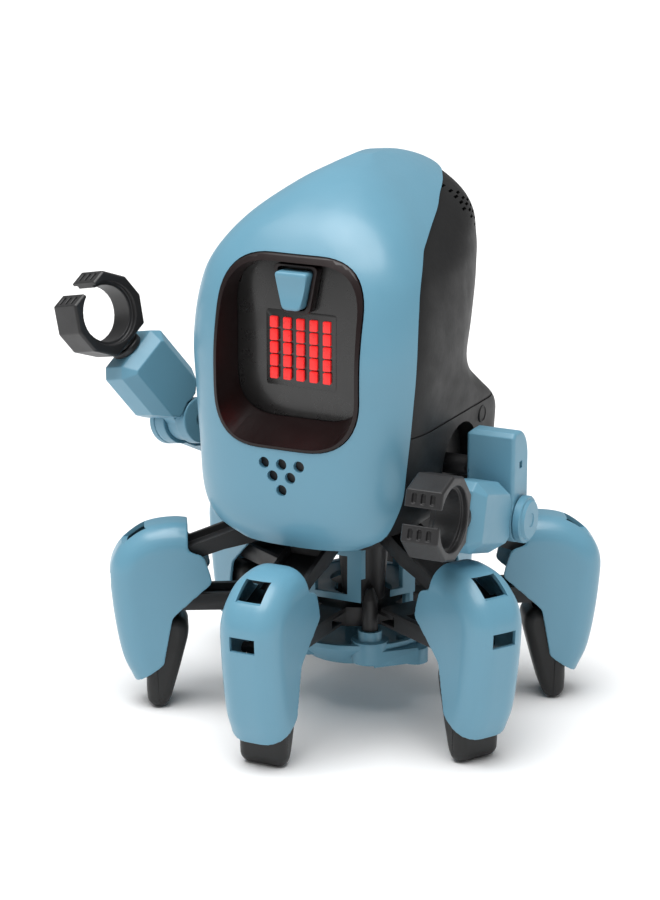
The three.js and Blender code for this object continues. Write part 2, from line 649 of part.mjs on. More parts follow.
function add(parent, name, body, look, mirrored = false) {
  const geometry = geometryOf(body);
  if (mirrored) {
    geometry.scale(-1, 1, 1);
    const index = geometry.index.array;
    for (let i = 0; i < index.length; i += 3) [index[i], index[i + 1]] = [index[i + 1], index[i]];
    geometry.computeVertexNormals();
  }
  const mesh = new THREE.Mesh(geometry, new THREE.MeshStandardMaterial(COLOURS[look]));
  mesh.name = name;
  parent.add(mesh);
}

function addHead() {
  add(robot, "front_shell", frontShell(), "blue");
  add(robot, "rear_shell", rearShell(), "black");
  add(robot, "rear_housing", rearHousing(), "black");
  add(robot, "battery_door", batteryDoor(), "black");
  add(robot, "power_switch", powerSwitch(), "grey");
  add(robot, "visor_tub", visorTub(), "black");
  add(robot, "display_panel", displayPanel(), "panel");
  add(robot, "led_matrix", ledMatrix(), "red");
  add(robot, "face_key", faceKey(), "blue");
  add(robot, "speaker", speaker(), "black");
  add(robot, "control_board", controlBoard(), "board");
  add(robot, "battery_box", batteryBox(), "black");
  for (let i = 0; i < 4; i += 1) add(robot, `battery_cell_${i + 1}`, batteryCell(i), "steel");
}

function addDrive() {
  add(robot, "hub", hub(), "black");
  add(robot, "gearbox_frame", gearboxFrame(), "blue");
  add(robot, "walking_plate", walkingPlate(), "black");
  add(robot, "base_disc", baseDisc(), "blue");
  add(robot, "guide_pin", guidePin(), "black");
  add(robot, "crank", crank(), "black");
  add(robot, "motor_pinion", motorPinion(), "steel");
  add(robot, "drive_motor", driveMotor(), "steel");
}

function addLegs() {
  const pieces = [
    ["upper_link", upperLink(), "black"],
    ["lower_link", lowerLink(), "black"],
    ["leg_shell", legShell(), "blue"],
    ["foot", foot(), "black"],
  ];
  for (let i = 0; i < LEG_COUNT; i += 1) {
    const leg = new THREE.Group();
    leg.rotation.z = (2 * Math.PI * i) / LEG_COUNT;
    for (const [name, body, look] of pieces) add(leg, `${name}_${i + 1}`, body, look);
    robot.add(leg);
  }
}

// Groups nest as the joints do: swing, then raise to the side, then bend at the elbow
function addArm(name, side) {
  const pose = ARM_POSES[name];
  const mirrored = side < 0;
  const swing = new THREE.Group();
  swing.position.set(side * SHOULDER.x, SHOULDER.y, SHOULDER.z);
  swing.rotation.x = -rad(pose.swing);
  const raise = new THREE.Group();
  raise.rotation.y = -side * rad(pose.raise);
  const bend = new THREE.Group();
  bend.position.z = -ELBOW_DROP;
  bend.rotation.x = -rad(pose.bend);
  add(swing, `shoulder_joint_${name}`, shoulderJoint(), "black", mirrored);
  add(raise, `upper_arm_${name}`, upperArm(), "blue", mirrored);
  add(raise, `elbow_pin_${name}`, elbowPin(), "blue", mirrored);
  add(bend, `forearm_${name}`, forearm(), "blue", mirrored);
  add(bend, `wrist_collar_${name}`, wristCollar(), "black", mirrored);
  add(bend, `gripper_${name}`, gripper(), "black", mirrored);
  raise.add(bend);
  swing.add(raise);
  robot.add(swing);
}

addHead();
addDrive();
addLegs();
addArm("right", 1);
addArm("left", -1);

// The origin is on the floor, under the middle of the whole robot
const bounds = new THREE.Box3().setFromObject(robot, true);
const centre = bounds.getCenter(new THREE.Vector3());
robot.position.set(-centre.x, -centre.y, -bounds.min.z);

export default robot;
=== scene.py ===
"""The coding robot's looks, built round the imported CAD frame. Lengths in this script are millimetres
until a mesh is made; the frame and every object are in metres."""

import json
import math

import bmesh
import bpy
from mathutils import Matrix, Vector


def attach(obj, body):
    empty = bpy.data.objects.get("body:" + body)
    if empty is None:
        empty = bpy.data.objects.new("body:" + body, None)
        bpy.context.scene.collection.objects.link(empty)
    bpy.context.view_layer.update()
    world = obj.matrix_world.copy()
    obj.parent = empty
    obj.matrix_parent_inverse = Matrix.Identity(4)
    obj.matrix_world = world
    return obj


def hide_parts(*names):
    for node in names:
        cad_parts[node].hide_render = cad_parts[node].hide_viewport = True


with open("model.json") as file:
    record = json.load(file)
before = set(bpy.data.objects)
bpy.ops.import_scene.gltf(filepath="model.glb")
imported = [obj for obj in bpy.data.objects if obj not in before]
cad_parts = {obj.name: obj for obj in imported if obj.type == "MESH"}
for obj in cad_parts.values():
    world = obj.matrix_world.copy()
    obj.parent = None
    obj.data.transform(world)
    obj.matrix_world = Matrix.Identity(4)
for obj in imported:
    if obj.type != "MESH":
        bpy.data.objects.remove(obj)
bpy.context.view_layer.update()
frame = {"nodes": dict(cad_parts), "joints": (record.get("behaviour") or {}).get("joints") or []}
JOINTS = {j["name"]: j for j in frame["joints"]}
MM = 0.001
AXIS = Vector(JOINTS["crank_spin"]["pos_m"]) * Vector((1, 1, 0))  # the upright axis of the drive

# ---- Shape dimensions, measured from the drive axis and the floor ----
HALF_WIDTH = [
    (91, 36), (96, 45), (102, 49), (112, 52), (130, 53.2), (155, 55), (180, 56),
    (205, 52.3), (220, 44), (232, 33.5), (242, 20.7), (248, 10), (251, 4),
]
FRONT_DEPTH = [
    (91, -65), (100, -71.5), (110, -73.5), (130, -74), (155, -73.8), (180, -73),
    (205, -66.7), (220, -58.4), (232, -47.5), (242, -30.7), (248, -12.2), (251, 5.5),
]
REAR_DEPTH = [
    (91, 56), (110, 60), (133, 62), (142, 54), (150, 46), (158, 40), (167, 43), (182, 54),
    (200, 66), (213, 71), (225, 71), (235, 66), (243, 56), (248, 40), (251, 20),
]
FLANK_FRONT = [(91, -30), (213, -30), (228, -20), (238, -5), (251, 8)]
FLANK_REAR = [
    (91, 10), (105, 25), (133, 30), (141, 26), (149, 8), (157, -12), (168, -26), (200, -27),
    (212, -12), (222, 12), (232, 22), (251, 12),
]
FRONT_POWER, REAR_POWER = 2.85, 2.35
HOOD_LOW, HOOD_HIGH = 91, 251
CROWN = 205  # above this height the lining is lowered too
FRONT_WALL = 2.4
REAR_INSET = 1.2
REAR_WALL = 2.0
PARTING = [
    (-57.5, 80), (-57, 104), (-55, 117), (-53.8, 137), (-53, 160), (-52.3, 178), (-49, 195), (-43, 207.5),
    (-31, 217), (-21, 221.2), (-8, 225.6), (7, 230), (20, 234.3), (38, 238.6), (50, 241), (70, 250),
]
VISOR = {"half": 33, "low": 138, "high": 217, "corner": 16}
VISOR_RIM = 1.2
RECESS = {"half": 30.5, "low": 146, "high": 214, "corner": 13}
SPEAKER_HOLES = [(0, 130), (-8.3, 130), (8.3, 130), (-4.2, 124.5), (4.2, 124.5), (0, 118.5)]
LED_PITCH = (6.3, 5.6)
LED_MIDDLE = 176
LED_FACE = -54.8
LEG_FORM = [
    (20, 83), (70, 86), (82.7, 87), (94.7, 85.2), (103.4, 79.9), (108.7, 74), (111.6, 66), (111.3, 55),
    (109.4, 38.6), (106.3, 23.7), (101.3, 12.5), (92, -10), (84, -26), (20, -26),
]
LEG_OUTLINE = [
    (76, 95), (76.2, 75.6), (69, 73.2), (66.1, 63.7), (65.7, 60.5), (80, 47.7), (83.5, 44.6),
    (87.7, 22.3), (89.1, 21), (101, 12.2), (120, 10), (120, 95),
]
LEG_HALF_WIDTH = 15
LEG_ROUND = 11
LEG_WALL = 2
SHOULDER = (61.5, -2, 118)
ARCH = {"radius": 19.2, "rim": 1.2, "depth": 41, "wall": 43.5, "bore": 5}
ARM_INNER, ARM_OUTER = -3.5, 19
ARM_MIDDLE = (ARM_INNER + ARM_OUTER) / 2
ELBOW_DROP = 21
ELBOW_RADIUS = 10.5
FOREARM_LENGTH = 46
GRIPPER_CENTRE = 68
PEG = (38, 29.5)  # the guide pin's angle round the axis, and its radius


# ---- Curves ----
def along(knots, at):
    """The value at `at` on a smooth line through (position, value) knots."""
    last = len(knots) - 1
    i = max(0, min(last - 1, next((k for k, knot in enumerate(knots) if knot[0] > at), last) - 1))

    def slope(k):
        a, b = knots[max(0, k - 1)], knots[min(last, k + 1)]
        return (b[1] - a[1]) / (b[0] - a[0])

    (x0, y0), (x1, y1) = knots[i], knots[i + 1]
    t = min(1, max(0, (at - x0) / (x1 - x0)))
    h = t * t * (3 - 2 * t)
    bend = slope(i) * t * (1 - t) ** 2 - slope(i + 1) * t * t * (1 - t)
    return y0 + (y1 - y0) * h + (x1 - x0) * bend


def flowing(points, steps=6, closed=False):
    """A Catmull-Rom line through 2-D points."""
    n = len(points)
    out = []
    for i in range(n if closed else n - 1):
        pick = (lambda k: points[k % n]) if closed else (lambda k: points[max(0, min(n - 1, k))])
        p0, p1, p2, p3 = (Vector(pick(i + k)) for k in (-1, 0, 1, 2))
        for s in range(steps):
            t = s / steps
            v = p1 * 2 + (p2 - p0) * t + (p0 * 2 - p1 * 5 + p2 * 4 - p3) * t * t
            out.append((v + (p1 * 3 - p0 - p2 * 3 + p3) * t**3) / 2)
    if not closed:
        out.append(Vector(points[-1]))
    return [tuple(p) for p in out]


def eased(points, radius, steps=5):
    """A closed outline with each corner turned into an arc-like curve that starts `radius` away."""
    out = []
    for i, here in enumerate(points):
        a, b, c = Vector(points[i - 1]), Vector(here), Vector(points[(i + 1) % len(points)])
        r = min(radius, (a - b).length * 0.45, (c - b).length * 0.45)
        start, end = b + (a - b).normalized() * r, b + (c - b).normalized() * r
        for k in range(steps + 1):
            t = k / steps
            out.append(tuple(start * (1 - t) ** 2 + b * 2 * t * (1 - t) + end * t * t))
    return out


def rounded_rectangle(half, low, high, corner, steps=12):
    return eased([(-half, low), (half, low), (half, high), (-half, high)], corner, steps)


def inset(points, amount):
    """A closed outline, given anticlockwise, drawn in along its own normals."""
    out = []
    n = len(points)
    for i in range(n):
        t = Vector(points[(i + 1) % n]) - Vector(points[i - 1])
        normal = Vector((-t.y, t.x)).normalized()
        out.append(tuple(Vector(points[i]) + normal * amount))
    return out


def polar(angle, radius):
    return radius * math.sin(math.radians(angle)), -radius * math.cos(math.radians(angle))


# ---- Meshes ----
def mesh_object(name, corners, faces):
    mesh = bpy.data.meshes.new(name)
    mesh.from_pydata([Vector(c) * MM for c in corners], [], faces)
    bm = bmesh.new()
    bm.from_mesh(mesh)
    bmesh.ops.recalc_face_normals(bm, faces=bm.faces)
    bm.to_mesh(mesh)
    bm.free()
    obj = bpy.data.objects.new(name, mesh)
    bpy.context.scene.collection.objects.link(obj)
    return obj


def loft(rings, name="tool", closed=False):
    """A skin over rings of equally many points, capped at its ends unless it closes on itself."""
    n = len(rings[0])
    rows = len(rings)
    faces = []
    for i in range(rows if closed else rows - 1):
        a, b = i * n, (i + 1) % rows * n
        faces += [(a + j, a + (j + 1) % n, b + (j + 1) % n, b + j) for j in range(n)]
    if not closed:
        faces += [tuple(reversed(range(n))), tuple(range((rows - 1) * n, rows * n))]
    return mesh_object(name, [p for ring in rings for p in ring], faces)


BASES = {
    "side": lambda u, v, w: (w, u, v),
    "leg": lambda u, v, w: (w, -u, v),
    "face": lambda u, v, w: (u, -w, v),
    "plan": lambda u, v, w: (u, v, w),
}


def prism(outline, basis, start, end, name="tool"):
    place = BASES[basis]
    return loft([[place(u, v, w) for u, v in outline] for w in (start, end)], name)


def pillow(outline, basis, half, radius, steps=10, name="tool"):
    """An outline extruded to +-half with its edges rounded by `radius`, the outline given anticlockwise."""
    place = BASES[basis]
    rings = []
    for k in range(-steps, steps + 1):
        angle = math.pi / 2 * abs(k) / steps
        w = math.copysign(half - radius + radius * math.sin(angle), k) if k else 0
        drawn = inset(outline, radius * (1 - math.cos(angle))) if k else outline
        if k == 1 or k == -1:
            rings.append([place(u, v, math.copysign(half - radius, k)) for u, v in outline])
        rings.append([place(u, v, w) for u, v in drawn])
    rings.sort(key=lambda ring: dict(side=ring[0][0], leg=ring[0][0], face=-ring[0][1], plan=ring[0][2])[basis])
    return loft(rings, name)


def box(x, y, z):
    return prism([(x[0], y[0]), (x[1], y[0]), (x[1], y[1]), (x[0], y[1])], "plan", *z)


def rod(axis, centre, start, end, radius, radius_to=None, sides=64, name="tool"):
    radius_to = radius if radius_to is None else radius_to
    rings = []
    for w, r in ((start, radius), (end, radius_to)):
        circle = [(r * math.cos(t), r * math.sin(t)) for t in (2 * math.pi * k / sides for k in range(sides))]
        if axis == "x":
            rings.append([(w, centre[0] + a, centre[1] + b) for a, b in circle])
        elif axis == "y":
            rings.append([(centre[0] + a, w, centre[1] + b) for a, b in circle])
        else:
            rings.append([(centre[0] + a, centre[1] + b, w) for a, b in circle])
    return loft(rings, name)


def turned(profile, centre=(0, 0), sides=96, name="tool"):
    """A solid of revolution about Z, from a closed (radius, height) profile off the axis."""
    rings = []
    for k in range(sides):
        c, s = math.cos(2 * math.pi * k / sides), math.sin(2 * math.pi * k / sides)
        rings.append([(centre[0] + r * c, centre[1] + r * s, z) for r, z in profile])
    return loft(rings, name, closed=True)


def applied(obj):
    """The object with its modifiers turned into mesh."""
    depsgraph = bpy.context.evaluated_depsgraph_get()
    mesh = bpy.data.meshes.new_from_object(obj.evaluated_get(depsgraph))
    old = obj.data
    obj.modifiers.clear()
    obj.data = mesh
    bpy.data.meshes.remove(old)
    return obj


def combine(target, operation, tools):
    for tool in tools:
        step = target.modifiers.new(operation, "BOOLEAN")
        step.operation = operation
        step.object = tool
        step.solver = "MANIFOLD"
        applied(target)
        bpy.data.objects.remove(tool)
    return target


def cut(target, *tools):
    return combine(target, "DIFFERENCE", tools)


def join(target, *tools):
    return combine(target, "UNION", tools)


def common(target, *tools):
    return combine(target, "INTERSECT", tools)


def softened(obj, voxel, rounds=5):
    """Even small faces all over, with every edge eased by smoothing."""
    step = obj.modifiers.new("even", "REMESH")
    step.mode = "VOXEL"
    step.voxel_size = voxel * MM
    step = obj.modifiers.new("ease", "SMOOTH")
    step.iterations = rounds
    step.factor = 0.5
    return applied(obj)


def bevelled(obj, width, segments=3, angle=32):
    step = obj.modifiers.new("bevel", "BEVEL")
    step.width = width * MM
    step.segments = segments
    step.limit_method = "ANGLE"
    step.angle_limit = math.radians(angle)
    step.use_clamp_overlap = True
    return applied(obj)


def moved(obj, x=0, y=0, z=0):
    obj.data.transform(Matrix.Translation(Vector((x, y, z)) * MM))
    return obj


def turned_by(obj, degrees, axis="Z"):
    obj.data.transform(Matrix.Rotation(math.radians(degrees), 4, axis))
    return obj


def copy_of(obj, name):
    twin = bpy.data.objects.new(name, obj.data.copy())
    bpy.context.scene.collection.objects.link(twin)
    return twin


def mirrored(obj, name):
    mesh = obj.data.copy()
    mesh.transform(Matrix.Scale(-1, 4, Vector((1, 0, 0))))
    mesh.flip_normals()
    twin = bpy.data.objects.new(name, mesh)
    bpy.context.scene.collection.objects.link(twin)
    return twin


def from_node(node, name, width, segments=3):
    """A CAD node's own form with eased edges."""
    obj = bpy.data.objects.new(name, frame["nodes"][node].data.copy())
    bpy.context.scene.collection.objects.link(obj)
    bm = bmesh.new()
    bm.from_mesh(obj.data)
    bmesh.ops.remove_doubles(bm, verts=bm.verts, dist=1e-6)
    bmesh.ops.dissolve_limit(bm, angle_limit=math.radians(1), verts=bm.verts, edges=bm.edges)
    bm.to_mesh(obj.data)
    bm.free()
    return bevelled(obj, width, segments)


# ---- Materials ----
def nodes_of(name):
    material = bpy.data.materials.new(name)
    material.use_nodes = True
    tree = material.node_tree
    shader = tree.nodes["Principled BSDF"]
    place = tree.nodes.new("ShaderNodeTexCoord")
    return material, tree, shader, place.outputs["Object"]


def noise(tree, place, scale, detail=3, roughness=0.5):
    node = tree.nodes.new("ShaderNodeTexNoise")
    node.inputs["Scale"].default_value = scale
    node.inputs["Detail"].default_value = detail
    node.inputs["Roughness"].default_value = roughness
    tree.links.new(place, node.inputs["Vector"])
    return node.outputs["Fac"]


def spread(tree, value, low, high, from_low=0.3, from_high=0.7):
    node = tree.nodes.new("ShaderNodeMapRange")
    tree.links.new(value, node.inputs["Value"])
    for key, number in zip(("From Min", "From Max", "To Min", "To Max"), (from_low, from_high, low, high)):
        node.inputs[key].default_value = number
    return node.outputs["Result"]


def blended(tree, factor, first, second):
    node = tree.nodes.new("ShaderNodeMix")
    node.data_type = "RGBA"
    tree.links.new(factor, node.inputs["Factor"])
    node.inputs["A"].default_value = (*first, 1)
    node.inputs["B"].default_value = (*second, 1)
    return node.outputs["Result"]


def bumped(tree, height, strength, distance):
    node = tree.nodes.new("ShaderNodeBump")
    node.inputs["Strength"].default_value = strength
    node.inputs["Distance"].default_value = distance
    tree.links.new(height, node.inputs["Height"])
    return node.outputs["Normal"]


def plastic(name, colour, roughness, grain=900, relief=0.18, drift=0.05, coat=0.0, gloss=0.5):
    """Moulded plastic: fine grain, slow drift of colour along the flow, and patches of finer polish."""
    material, tree, shader, place = nodes_of(name)
    light = tuple(min(1, c * (1 + drift)) for c in colour)
    dark = tuple(c * (1 - drift) for c in colour)
    slow = noise(tree, place, 22, 4)
    fine = noise(tree, place, grain, 2, 0.6)
    tree.links.new(blended(tree, spread(tree, slow, 0, 1), dark, light), shader.inputs["Base Color"])
    patches = noise(tree, place, 90, 5, 0.6)
    rough = spread(tree, patches, roughness - 0.05, roughness + 0.06)
    tree.links.new(rough, shader.inputs["Roughness"])
    tree.links.new(bumped(tree, fine, relief, 0.0001), shader.inputs["Normal"])
    shader.inputs["Coat Weight"].default_value = coat
    shader.inputs["Coat Roughness"].default_value = 0.12
    shader.inputs["Specular IOR Level"].default_value = gloss
    return material


def metal(name, colour, roughness):
    """Drawn metal with fine lines along its length."""
    material, tree, shader, place = nodes_of(name)
    stretch = tree.nodes.new("ShaderNodeMapping")
    stretch.inputs["Scale"].default_value = (1, 1, 0.04)
    tree.links.new(place, stretch.inputs["Vector"])
    lines = noise(tree, stretch.outputs["Vector"], 2500, 3, 0.6)
    tree.links.new(spread(tree, lines, roughness - 0.08, roughness + 0.1), shader.inputs["Roughness"])
    dark = tuple(c * 0.85 for c in colour)
    tree.links.new(blended(tree, lines, dark, colour), shader.inputs["Base Color"])
    tree.links.new(bumped(tree, lines, 0.15, 0.00005), shader.inputs["Normal"])
    shader.inputs["Metallic"].default_value = 1
    return material


def lit_tile(name, colour):
    """A light tile: diffused red with a slightly uneven glow."""
    material, tree, shader, place = nodes_of(name)
    uneven = noise(tree, place, 320, 3)
    dim = tuple(c * 0.72 for c in colour)
    shade = blended(tree, spread(tree, uneven, 0, 1), dim, colour)
    tree.links.new(shade, shader.inputs["Base Color"])
    tree.links.new(shade, shader.inputs["Emission Color"])
    shader.inputs["Emission Strength"].default_value = 0.62
    tree.links.new(spread(tree, uneven, 0.25, 0.4), shader.inputs["Roughness"])
    return material


BLUE = plastic("blue_plastic", (0.121, 0.296, 0.402), 0.36, drift=0.03, coat=0.12)
BLUE_PART = plastic("blue_part_plastic", (0.121, 0.294, 0.400), 0.42, drift=0.04)
BLACK = plastic("black_plastic", (0.012, 0.012, 0.013), 0.48, relief=0.3, drift=0.12)
BLACK_SHELL = plastic("black_shell_plastic", (0.007, 0.0071, 0.0075), 0.5, grain=700, relief=0.35, drift=0.12, gloss=0.26)
RUBBER = plastic("foot_plastic", (0.012, 0.012, 0.012), 0.42, relief=0.25, drift=0.15, gloss=0.38)
VISOR_GLOSS = plastic("visor_plastic", (0.009, 0.0035, 0.0035), 0.36, relief=0.06, drift=0.1, coat=0.08, gloss=0.3)
SCREEN = plastic("display_plastic", (0.010, 0.0095, 0.0095), 0.28, relief=0.05, drift=0.1, coat=0.3)
GREY = plastic("switch_plastic", (0.28, 0.28, 0.28), 0.4)
BOARD = plastic("board_lacquer", (0.01, 0.075, 0.03), 0.35, grain=400, drift=0.2)
STEEL = metal("drawn_steel", (0.6, 0.61, 0.63), 0.3)
RED = lit_tile("red_light", (0.80, 0.016, 0.016))


def dressed(obj, material, body, slot, nodes, crease=35):
    mesh = obj.data
    mesh.polygons.foreach_set("use_smooth", [True] * len(mesh.polygons))
    mesh.set_sharp_from_angle(angle=math.radians(crease))
    mesh.materials.clear()
    mesh.materials.append(material)
    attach(obj, body)
    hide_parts(*nodes)
    return obj


def at_axis(obj):
    obj.location = AXIS
    return obj


# ---- Head ----
def hood_ring(z, drawn_in, height=None, sides=200):
    """The hood's plan section: two superellipse halves joined by straight flanks, from the left round the front."""
    wide = max(0.6, along(HALF_WIDTH, z) - drawn_in)
    start = along(FLANK_FRONT, z)
    end = max(start + 1.5, along(FLANK_REAR, z))
    front = max(0.6, start - along(FRONT_DEPTH, z) - drawn_in)
    rear = max(0.6, along(REAR_DEPTH, z) - end - drawn_in)
    ring = []
    for power, depth, middle, turn in ((FRONT_POWER, front, start, -math.pi), (REAR_POWER, rear, end, 0)):
        for k in range(sides // 2 + 1):
            angle = turn + 2 * math.pi * k / sides
            c, s = math.cos(angle), math.sin(angle)
            x = math.copysign(abs(c) ** (2 / power), c) * wide
            y = math.copysign(abs(s) ** (2 / power), s) * depth
            ring.append((x, middle + y, z if height is None else height))
    return ring


def hood(drawn_in, drop=0, rows=90):
    rings = []
    for k in range(rows + 1):
        z = HOOD_LOW + (HOOD_HIGH - HOOD_LOW) * (1 - (1 - k / rows) ** 1.6)
        sunk = drawn_in * max(0, (z - CROWN) / (HOOD_HIGH - CROWN))
        rings.append(hood_ring(z, drawn_in, z - sunk))
    if drop:
        rings.insert(0, hood_ring(HOOD_LOW, drawn_in, HOOD_LOW - drop))
    return loft(rings)


def hood_frame(share, z):
    """A point on the rear shell's skin and the skin's axes there. share runs from 0 at the right flank's rear
    end to 1 at the middle of the back."""
    k = 101 + share * 50
    at = lambda kk, zz: Vector(hood_ring(zz, REAR_INSET)[int(round(kk))])
    here = at(k, z)
    sideways = (at(k + 2, z) - at(k - 2, z)).normalized()
    upward = (at(k, z + 1.5) - at(k, z - 1.5)).normalized()
    outward = sideways.cross(upward).normalized()
    return here, Matrix((sideways, outward, outward.cross(sideways) * -1)).transposed().to_4x4()


def front_region():
    edge = flowing(PARTING, 6)
    return prism([(-120, 80), *edge, (70, 280), (-120, 280)], "side", -120, 120)


def rear_region(gap):
    edge = [(y + gap, z - gap) for y, z in flowing(PARTING, 6)]
    return prism([*edge, (120, 250), (120, 80)], "side", -120, 120)


def visor_outline(spec, grow=0):
    return rounded_rectangle(spec["half"] + grow, spec["low"] - grow, spec["high"] + grow, spec["corner"] + 6 + grow)


def make_front_shell():
    shell = cut(hood(0), hood(FRONT_WALL, 5))
    shell = common(shell, front_region())
    shell = cut(shell, prism(visor_outline(VISOR, VISOR_RIM + 0.4), "face", 30, 120))
    shell = cut(shell, *[rod("y", hole, -90, -60, 2.5, sides=40) for hole in SPEAKER_HOLES])
    shell.name = "front_shell_skin"
    at_axis(shell)
    return dressed(shell, BLUE, "body", "blue_shell", ["front_shell"])


def vent_slots():
    """Three slanted groups of short slots on each side, high on the rear shell."""
    slots = []
    for group in range(3):
        for row in range(5):
            z = 235.4 - 4.2 * group - 2.5 * row
            here, axes = hood_frame(0.1 + 0.1 * group + 0.012 * row, z)
            for side in (1, -1):
                tool = box((-2.5, 2.5), (-3, 3), (-0.62, 0.62))
                flip = Matrix.Diagonal((side, 1, 1, 1))
                tool.data.transform(flip @ Matrix.Translation(here * MM) @ axes)
                if side < 0:
                    tool.data.flip_normals()
                slots.append(tool)
    return slots


def make_rear_shell():
    shell = cut(hood(REAR_INSET), hood(REAR_INSET + REAR_WALL, 5))
    shell = common(shell, rear_region(0.4))
    shell = cut(shell, box((-90, 90), (-90, 90), (80, 98)))
    shell = cut(shell, box((-34.4, 34.4), (38, 90), (105.6, 134.4)))
    groove = cut(hood(-2), hood(REAR_INSET + 0.5, 5))
    groove = common(groove, box((-90, 90), (-90, 90), (141.6, 142.6)))
    shell = cut(shell, groove)
    for side in (-1, 1):
        span = lambda a, b: sorted((side * a, side * b))
        centre = (SHOULDER[1], SHOULDER[2])
        opening = rod("x", centre, *span(ARCH["wall"], 60), ARCH["radius"])
        lined = common(rod("x", centre, *span(ARCH["depth"], 60), ARCH["radius"] + ARCH["rim"]), hood(REAR_INSET))
        recess = cut(lined, copy_of(opening, "tool"), box((-90, 90), (-90, 90), (80, 98)))
        shell = join(cut(shell, opening), recess)
        shell = cut(shell, rod("x", centre, *span(ARCH["depth"] - 1, 60), ARCH["bore"]))
    shell = cut(shell, *vent_slots())
    shell.name = "rear_shell_skin"
    at_axis(shell)
    return dressed(shell, BLACK_SHELL, "body", "black_shell", ["rear_shell"])


def make_shoulder_arches():
    """A raised half-round rib over each shoulder opening."""
    for side, name in ((1, "right"), (-1, "left")):
        rings = []
        for k in range(33):
            t = math.radians(-25 + 230 * k / 32)
            reach = ARCH["radius"] + 0.9
            centre = Vector((0, SHOULDER[1] + reach * math.cos(t), SHOULDER[2] + reach * math.sin(t)))
            out = Vector((0, math.cos(t), math.sin(t)))
            ring = []
            for m in range(12):
                a = 2 * math.pi * m / 12
                x = 50.4 + 1.4 * math.cos(a)
                p = centre + out * (0.9 * math.sin(a))
                ring.append((side * x, p.y, p.z))
            rings.append(ring)
        rib = loft(rings, f"shoulder_arch_{name}")
        at_axis(rib)
        dressed(rib, BLACK_SHELL, "body", "black_shell", [])


def make_side_dial():
    """A plain raised ring on each side of the rear shell."""
    for side, name in ((1, "right"), (-1, "left")):
        profile = [(3.5 + 0.6 * math.cos(t), 0.6 * math.sin(t)) for t in (2 * math.pi * k / 16 for k in range(16))]
        ring = turned(profile, sides=48, name=f"side_dial_{name}")
        hub = rod("z", (0, 0), -0.8, 0.3, 3.2, 2.9, 32)
        ring = join(ring, hub)
        ring.data.transform(Matrix.Rotation(math.radians(90 * side), 4, "Y"))
        moved(ring, side * 52.4, 20, 136)
        at_axis(ring)
        dressed(ring, BLACK_SHELL, "body", "black_shell", [])


def make_rear_housing():
    body = from_node("rear_housing", "rear_housing_form", 0.8)
    dressed(body, BLACK_SHELL, "body", "black_shell", ["rear_housing"])
    door = from_node("battery_door", "battery_door_panel", 0.35)
    dressed(door, BLACK_SHELL, "door", "black_shell", ["battery_door"])
    switch = from_node("power_switch", "power_switch_knob", 0.3)
    dressed(switch, GREY, "switch", "grey_switch", ["power_switch"])


def make_visor():
    outer = common(prism(visor_outline(VISOR, VISOR_RIM), "face", 49, 120), hood(-0.5))
    ring = lambda spec, y, grow=0: [(x, y, z) for x, z in visor_outline(spec, grow)]
    funnel = loft([ring(RECESS, -53), ring(RECESS, -54.5), ring(RECESS, -56, 0.3), ring(VISOR, -73), ring(VISOR, -90, 1)])
    outer = cut(outer, funnel)
    outer = cut(outer, prism(visor_outline(RECESS, 1.6), "face", 51.6, 54.9))
    outer = cut(outer, prism(visor_outline(RECESS, -2.5), "face", 40, 52))
    outer.name = "visor_frame"
    at_axis(outer)
    dressed(outer, VISOR_GLOSS, "body", "visor_black", ["visor_tub"], 60)
    panel = bevelled(prism(visor_outline(RECESS, 1.2), "face", 52, 54.5, "display_front"), 0.4)
    at_axis(panel)
    dressed(panel, SCREEN, "body", "display_black", ["display_panel"])


def make_lights():
    reach = 2 * LED_PITCH[0] + 4
    carrier = prism(
        rounded_rectangle(reach, LED_MIDDLE - reach, LED_MIDDLE + reach, 1.5, 6), "face", 54.4, 54.7,
        "light_carrier",
    )
    at_axis(carrier)
    dressed(bevelled(carrier, 0.1, 2), SCREEN, "body", "display_black", ["led_matrix"])
    tiles = None
    for column in range(-2, 3):
        for row in range(-2, 3):
            x, z = column * LED_PITCH[0], LED_MIDDLE + row * LED_PITCH[1]
            tile = prism(rounded_rectangle(1.75, z - 2.45, z + 2.45, 0.5, 3), "face", 54.6, 55.9)
            tile = moved(bevelled(tile, 0.15, 2), x)
            tiles = tile if tiles is None else join(tiles, tile)
    tiles.name = "light_tiles"
    at_axis(tiles)
    dressed(tiles, RED, "body", "led_red", ["led_matrix"])


def make_key():
    shape = [(-4.2, 195), (4.2, 195), (8, 211.5), (-8, 211.5)]
    key = bevelled(prism(eased(shape, 2.2), "face", 56.5, 65, "face_key_cap"), 1.3, 4)
    dish = turned_by(rod("x", (0, 0), -20, 20, 30, sides=128), 0)
    key = cut(key, moved(dish, 0, -94.2, 203))
    at_axis(key)
    dressed(key, BLUE, "key", "blue_part", ["face_key"], 30)
    surround = prism(eased([(-6.5, 192.8), (6.5, 192.8), (10.6, 214), (-10.6, 214)], 3), "face", 55, 60, "key_surround")
    hole = prism(eased([(-4.9, 194.3), (4.9, 194.3), (8.8, 213), (-8.8, 213)], 2.6), "face", 50, 70)
    surround = bevelled(cut(surround, hole), 0.4, 3)
    at_axis(surround)
    dressed(surround, VISOR_GLOSS, "body", "visor_black", [])


def make_speaker():
    cone = from_node("speaker", "speaker_form", 0.4)
    dressed(cone, BLACK, "body", "black_part", ["speaker"])
    cloth = bevelled(rod("y", (0, 124.5), -71.2, -70.5, 14, name="speaker_cloth"), 0.2, 2)
    at_axis(cloth)
    dressed(cloth, BLACK, "body", "black_part", [])


